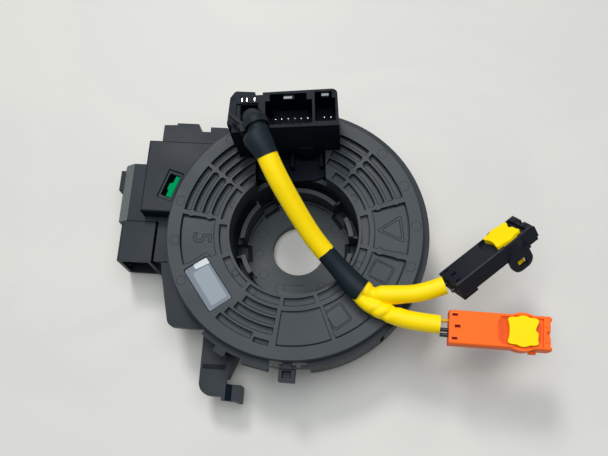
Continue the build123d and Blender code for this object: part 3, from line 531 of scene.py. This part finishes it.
def rounded(corners):
    """A closed outline with its corners rounded off."""
    out = []
    for before, corner, after in zip(corners[-1:] + corners[:-1], corners, corners[1:] + corners[:1]):
        start = corner + (before - corner).normalized() * FIGURE_CORNER
        end = corner + (after - corner).normalized() * FIGURE_CORNER
        for share in (0.0, 0.25, 0.5, 0.75, 1.0):
            out.append(start.lerp(corner, share).lerp(corner.lerp(end, share), share))
    return out


def outline_band(corners, inner_share):
    """The two raised edges of a band: a rounded outline and the same outline drawn smaller."""
    corners = [Vector((x, y, 0)) for x, y in corners]
    middle = sum(corners, Vector()) / len(corners)
    data = bpy.data.curves.new("band", "CURVE")
    data.bevel_depth = FIGURE_LINE * MM
    for share in (1.0, inner_share):
        points = [middle + (point - middle) * share for point in rounded(corners)]
        spline = data.splines.new("POLY")
        spline.points.add(len(points) - 1)
        spline.use_cyclic_u = True
        for control, point in zip(spline.points, points):
            control.co = (*(point * MM), 1)
    band = bpy.data.objects.new("band", data)
    bpy.context.scene.collection.objects.link(band)
    band.location.z = PANEL_FLOOR * MM
    return band


def plain_five():
    bpy.ops.object.text_add(location=Vector((*FIVE_AT, PANEL_FLOOR)) * MM, rotation=(0, 0, -math.pi / 2))
    five = bpy.context.object
    five.data.body = "5"
    five.data.size = FIVE_SIZE * MM
    five.data.fill_mode = "NONE"
    five.data.bevel_depth = FIGURE_LINE * MM
    return five


def window_hook(angle):
    """One of the cover's hooks, square to the line from the axle."""
    across = math.radians(angle)
    centre = (HOOK_REACH * math.cos(across), HOOK_REACH * math.sin(across), HOOK_HEIGHT)
    return plate(centre, HOOK_SIZE, angle)


disc_grey = moulded("disc_grey", (0.014, 0.021, 0.028))
hub_grey = moulded("hub_grey", (0.028, 0.036, 0.040))
soften_edges("rotor_face", DISC_EDGE, disc_grey)
soften_edges("hub_sleeve", DISC_EDGE, hub_grey)
rim_rings = [ring_mark(x, y, FACE, LARGE_PIN) for x, y in RIM_MARKS]
pocket_rings = [ring_mark(x, y, PANEL_FLOOR, SMALL_PIN) for x, y in POCKET_MARKS]
floor_rings = [ring_mark(x, y, WELL_FLOOR, LARGE_PIN) for x, y in FLOOR_MARKS]
join_as("disc_ejector_marks", rim_rings + pocket_rings, mark_and_shade_grey, "rotor_face")
join_as("floor_ejector_marks", floor_rings, mark_and_shade_grey, "hub_sleeve")
# painted shade: thin dark lines round the disc's slots, pockets and panels
join_as("disc_edge_shade_lines", [edge_shade_lines()], mark_and_shade_grey, "rotor_face")
figures = [
    outline_band(TRIANGLE, TRIANGLE_INNER), outline_band(UPPER_FRAME, FRAME_INNER),
    outline_band(LOWER_FRAME, FRAME_INNER), plain_five(),
]
join_as("panel_figures", figures, mark_and_shade_grey, "rotor_face")
join_as("window_hooks", [window_hook(angle) for angle in HOOK_ANGLES], block_black, "hub_sleeve")


# ---------------------------------------------------------------- window in the disc
# A clear acrylic pane is pressed into its frame in the disc, over a film. It is printed behind
# with a paler field, and a soft glare is painted at its upper end.
WINDOW_TURN = -54
FIELD_CENTRE = (-30.5, -22.8)
FIELD_SIZE = (14.8, 6.8)
FIELD_COLOR = (0.27, 0.31, 0.35)
GLARE_CENTRE = (-33.6, -13.9)
GLARE_TURN = 30
GLARE_SIZE = (8.6, 2.4)
GLARE_COLOR = (0.62, 0.66, 0.68)
FIELD_CORNER = 0.7
PANE_ALPHA = 0.88

window_clear = moulded("window_clear", (0.165, 0.19, 0.225), roughness=0.3, mottle=0.25, sheen=0.3)
tint(window_clear, FIELD_COLOR, [FIELD_CENTRE], WINDOW_TURN, FIELD_SIZE, FIELD_CORNER)
# painted reflection: a pale glare laid on the pane's upper end
tint(window_clear, GLARE_COLOR, [GLARE_CENTRE], GLARE_TURN, GLARE_SIZE, FIELD_CORNER)
window_clear.node_tree.nodes["Principled BSDF"].inputs["Alpha"].default_value = PANE_ALPHA
window_film = moulded("window_film", (0.185, 0.21, 0.25), roughness=0.35, mottle=0.25)
keep_node("window_lens", window_clear)
keep_node("window_backing", window_film)


# ---------------------------------------------------------------- connector block
# A tall black block stands on the disc, with two sockets of tin pins and a way out for the lead.
# Its latch bumps carry a painted highlight on their tops, and tin blades fill the slits behind the lead.
BLOCK_EDGE = 0.16
BLOCK_TURN = 5.3
BUMPS = [(-4.2, 45.9), (9.6, 47.7)]
BUMP_SIZE = (3.2, 0.8)
BUMP_HIGHLIGHT = (0.42, 0.44, 0.45)
BUMP_LOW = 44.0
COMB_SLITS = [(-21.21, 43.53), (-19.42, 43.69), (-16.53, 43.96)]
BLADE_SIZE = (0.32, 1.4, 0.5)
BLADE_HEIGHT = 54.5

# painted highlight: pale tint on the tops of the latch bumps
tint(block_black, BUMP_HIGHLIGHT, BUMPS, BLOCK_TURN, BUMP_SIZE, lowest=BUMP_LOW)
soften_edges("wheel_connector_block", BLOCK_EDGE, block_black)
keep_node("main_connector_pins", pin_tin)
keep_node("pair_connector_pins", pin_tin)
keep_node("lead_gland", block_black)
keep_node("turning_lead_block", block_black)
blades = [plate((x, y, BLADE_HEIGHT), BLADE_SIZE, BLOCK_TURN) for x, y in COMB_SLITS]
join_as("comb_blades", blades, pin_tin, "main_connector_pins")


# ---------------------------------------------------------------- plugs
# Two airbag plugs, one black and one orange, each have a yellow lock that slides out to free
# them. The orange one's slots and lock recess are darkened with painted shade.
ORANGE_TURN = -1.0
RECESS_CENTRE = (84.8, -34.7)
RECESS_SIZE = (15.2, 9.8)
RECESS_CORNER = 2.6
RECESS_SHADE_ORANGE = (0.72, 0.085, 0.008)
ORANGE_SLOTS = [(61.5, -30.0), (62.5, -34.1), (61.5, -38.6)]
SLOT_SIZE = (1.9, 0.9)
SLOT_SHADE_RED = (0.20, 0.010, 0.006)
PLUG_EDGE = 0.15

plug_black = moulded("plug_black", (0.004, 0.006, 0.012), sheen=0.33)
plug_orange = moulded("plug_orange", (0.98, 0.145, 0.010), roughness=0.45, sheen=0.12)
# painted shade: the orange plug's lock recess and slots are laid on darker
tint(plug_orange, RECESS_SHADE_ORANGE, [RECESS_CENTRE], ORANGE_TURN, RECESS_SIZE, RECESS_CORNER)
tint(plug_orange, SLOT_SHADE_RED, ORANGE_SLOTS, ORANGE_TURN, SLOT_SIZE)
lock_yellow = moulded("lock_yellow", (1.0, 0.68, 0.0), roughness=0.45, sheen=0.08)
wire_black = moulded("wire_black", (0.008, 0.012, 0.02), roughness=0.35)
wire_yellow = moulded("wire_yellow", (0.6, 0.36, 0.02), roughness=0.4)
for colour, housing in (("black", plug_black), ("orange", plug_orange)):
    soften_edges(colour + "_plug_housing", PLUG_EDGE, housing)
    soften_edges(colour + "_plug_lock", PLUG_EDGE, lock_yellow)
    keep_node(colour + "_plug_contacts", pin_tin)
keep_node("black_plug_wires", wire_black)
keep_node("orange_plug_dark_wires", wire_black)
keep_node("orange_plug_yellow_wire", wire_yellow)


# ---------------------------------------------------------------- sleeved leads
# A taped boot leaves the block, a soft yellow sleeve crosses the well, a shrunk black
# sleeve holds the split, and two yellow branches run out to the plugs.
def up(points):
    """Points in millimetres above the disc's face, as points of the part."""
    return [Vector((x, y, FACE + z)) * MM for x, y, z in points]


LEAD_POINTS = up([
    (-18.2, 38.2, 17.0), (-15.8, 35.0, 29.0), (-12.3, 27.0, 30.4), (-6.6, 15.3, 27.0),
    (2.0, 2.6, 19.2), (9.4, -6.8, 12.6), (19.4, -15.9, 7.0), (26.9, -22.4, 5.2),
])
UPPER_POINTS = up([(32.4, -24.6, 4.8), (39.0, -25.0, 4.8), (49.6, -22.6, 5.6), (57.6, -19.2, 6.7)])
LOWER_POINTS = up([
    (18.6, -16.9, 6.6), (26.0, -24.2, 4.6), (30.6, -28.2, 4.5), (37.8, -31.3, 4.4),
    (46.6, -33.5, 4.2), (56.4, -33.9, 4.0),
])
BOOT_RADIUS = 4.1 * MM
BRANCH_RADIUS = 3.5 * MM
SPLIT_RADIUS = 4.0 * MM
# how far along the main lead the boot ends and the split sleeve starts and ends, in millimetres
BOOT_END = 28.4
SPLIT_START = BOOT_END + 40.9
SPLIT_END = SPLIT_START + 20.3
SLEEVE_RINGS = 48
TAPE_RINGS = 72
# a sleeve is pinched no thinner than this share of its radius, and no thicker under the tape
THINNEST = 0.71
COVERED = 0.86
# round the tubes, angle 0 is the side towards the lower branch, a quarter turn is the top
CREASE_SIDE = 2.5


def smooth_line(points):
    """The points along the smooth NURBS line that a route's points pull into shape."""
    data = bpy.data.curves.new("route", "CURVE")
    data.dimensions = "3D"
    spline = data.splines.new("NURBS")
    spline.points.add(len(points) - 1)
    for control, point in zip(spline.points, points):
        control.co = (*point, 1)
    spline.order_u = 3
    spline.use_endpoint_u = True
    data.resolution_u = 32
    carrier = bpy.data.objects.new("route", data)
    bpy.context.scene.collection.objects.link(carrier)
    mesh = bpy.data.meshes.new_from_object(carrier)
    line = [vertex.co.copy() for vertex in mesh.vertices]
    bpy.data.objects.remove(carrier)
    return line


def distances(line):
    """How far along the line each of its points is."""
    out = [0.0]
    for a, b in zip(line, line[1:]):
        out.append(out[-1] + (b - a).length)
    return out


def stretch(line, start_mm, end_mm):
    """The points of a line between two distances from its start."""
    return [point for point, gone in zip(line, distances(line)) if start_mm * MM <= gone <= end_mm * MM]


def skin_tube(name, line, radius, shape, rings, material):
    """A closed tube of mesh along a line; shape(mm, angle) scales its radius, mm being how far along."""
    mesh = bpy.data.meshes.new(name)
    piece = bpy.data.objects.new(name, mesh)
    bpy.context.scene.collection.objects.link(piece)
    build = bmesh.new()
    ahead = (line[1] - line[0]).normalized()
    side = ahead.cross(Vector((0, 0, 1))).normalized()
    loops = []
    for i, (point, gone) in enumerate(zip(line, distances(line))):
        ahead = (line[min(i + 1, len(line) - 1)] - line[max(i - 1, 0)]).normalized()
        side = (side - ahead * side.dot(ahead)).normalized()
        over = ahead.cross(side)
        loop = []
        for j in range(rings):
            angle = math.tau * j / rings
            reach = radius * shape(gone / MM, angle)
            loop.append(build.verts.new(point + (side * math.cos(angle) - over * math.sin(angle)) * reach))
        loops.append(loop)
    for a, b in zip(loops, loops[1:]):
        for j in range(rings):
            k = (j + 1) % rings
            build.faces.new((a[j], a[k], b[k], b[j]))
    build.faces.new(loops[0][::-1])
    build.faces.new(loops[-1])
    bmesh.ops.recalc_face_normals(build, faces=build.faces)
    build.to_mesh(mesh)
    build.free()
    only(piece)
    bpy.ops.object.shade_smooth_by_angle(angle=math.radians(50))
    paint(piece, material)
    return piece


def hump(at, place, width):
    """1 at a place, falling smoothly to 0 over a width."""
    return math.exp(-((at - place) / width) ** 2)


def rise(at, start, end):
    """0 before a start and 1 after an end, with a smooth way between."""
    share = min(max((at - start) / (end - start), 0.0), 1.0)
    return share * share * (3 - 2 * share)


def facing(angle):
    """1 on the side towards the lower branch, 0 on the far side."""
    return 0.5 + 0.5 * math.cos(angle)


def main_shape(at, angle):
    """Slightly flat with one long crease, pinched beside the other branch and notched after the split."""
    crease = 0.05 * hump(math.cos(angle - CREASE_SIDE), 1.0, 0.02) * rise(at, 25, 34) * (1 - rise(at, 60, 70))
    pinch = 0.20 * hump(at, SPLIT_END, 7) * facing(angle)
    notch = 0.30 * hump(at, SPLIT_END + 3.9, 1.5) * (1 - facing(angle)) ** 2
    slim = 0.09 * rise(at, SPLIT_END, SPLIT_END + 6)
    near = 0.16 * (1 - rise(at, 30, 62)) * facing(angle)
    away = 0.38 * hump(at, SPLIT_END + 11, 8) * -math.cos(angle)
    free = 1.03 + 0.02 * math.cos(2 * angle) - crease - pinch - notch - slim + near + away
    if at < BOOT_END - 1 or SPLIT_START + 1 < at < SPLIT_END - 1:
        free = min(free, COVERED)
    return max(free, THINNEST)


def lower_shape(at, angle):
    """Pinched inside the split, with a valley along its top and two slanted dents where it was bent."""
    top = 0.5 + 0.5 * math.sin(angle)
    slant = at + 1.6 * math.cos(angle)
    pinch = 0.25 * (1 - rise(at, 9, 16))
    valley = 0.12 * hump(angle, 2.0, 0.35) * rise(at, 11, 14) * (1 - rise(at, 17, 20))
    dents = (0.12 * hump(slant, 20.0, 1.0) + 0.22 * hump(slant, 24.2, 1.1)) * top
    away = 0.17 * -math.cos(angle) * rise(at, 12, 20)
    straight = 0.10 * hump(at, 14.5, 3) * facing(angle)
    return max(0.98 - pinch - valley - dents + away - straight, THINNEST)


def boot_shape(at, angle):
    """Tape wound in overlapping turns: a folded head, a neck at the tie and a shoulder out to one side."""
    wound = 0.018 * ((at / 5.5 + angle / math.tau) % 1.0)
    head = (0.05 + 0.03 * math.cos(3 * angle + 0.8 * at)) * hump(at, 11, 3.5)
    tapering = 1 - 0.75 * rise(at, 21, BOOT_END)
    shoulder = 0.64 * rise(at, 17.3, 20.2) * tapering * facing(angle) ** 2
    return 0.90 + wound + head + shoulder + 0.04 * rise(at, 17, 19)


def split_shape(at, angle):
    """Shrunk tight on the sleeve at its start and wider over the two branches, with faint turns of tape."""
    wound = 0.012 * ((at / 6.0 + angle / math.tau) % 1.0)
    grown = rise(at, 2, SPLIT_END - SPLIT_START)
    return 0.9 + wound + 0.11 * grown + 0.19 * grown * facing(angle) ** 2


sleeve_yellow = moulded("sleeve_yellow", (1.0, 0.70, 0.0),
                        roughness=0.45, mottle=0.12, grain_scale=900, grain_depth=0.1, sheen=0.2)
tape_black = moulded("tape_black", (0.002, 0.009, 0.015),
                     roughness=0.6, mottle=0.5, grain_scale=1500, grain_depth=0.25, sheen=0.3)
tie_black = moulded("tie_black", (0.002, 0.006, 0.010), roughness=0.6, sheen=0.3)
keep_node("cable_tie", tie_black)

main_line = smooth_line(LEAD_POINTS + UPPER_POINTS)
lower_line = smooth_line(LOWER_POINTS)
boot_line = stretch(main_line, 0, BOOT_END)
split_line = stretch(main_line, SPLIT_START, SPLIT_END)
main_lead = skin_tube("main_lead", main_line, BRANCH_RADIUS, main_shape, SLEEVE_RINGS, sleeve_yellow)
lower_branch = skin_tube("lower_branch", lower_line, BRANCH_RADIUS, lower_shape, SLEEVE_RINGS, sleeve_yellow)
boot = skin_tube("taped_boot", boot_line, BOOT_RADIUS, boot_shape, TAPE_RINGS, tape_black)
split = skin_tube("split_sleeve", split_line, SPLIT_RADIUS, split_shape, TAPE_RINGS, tape_black)
soft_pieces = (
    (main_lead, "main_lead_sleeve"), (boot, "lead_boot"), (split, "split_tape"),
    (lower_branch, "lower_branch_sleeve"),
)
for piece, node in soft_pieces:
    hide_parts(node)
    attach(piece, "disc")
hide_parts("upper_branch_sleeve")
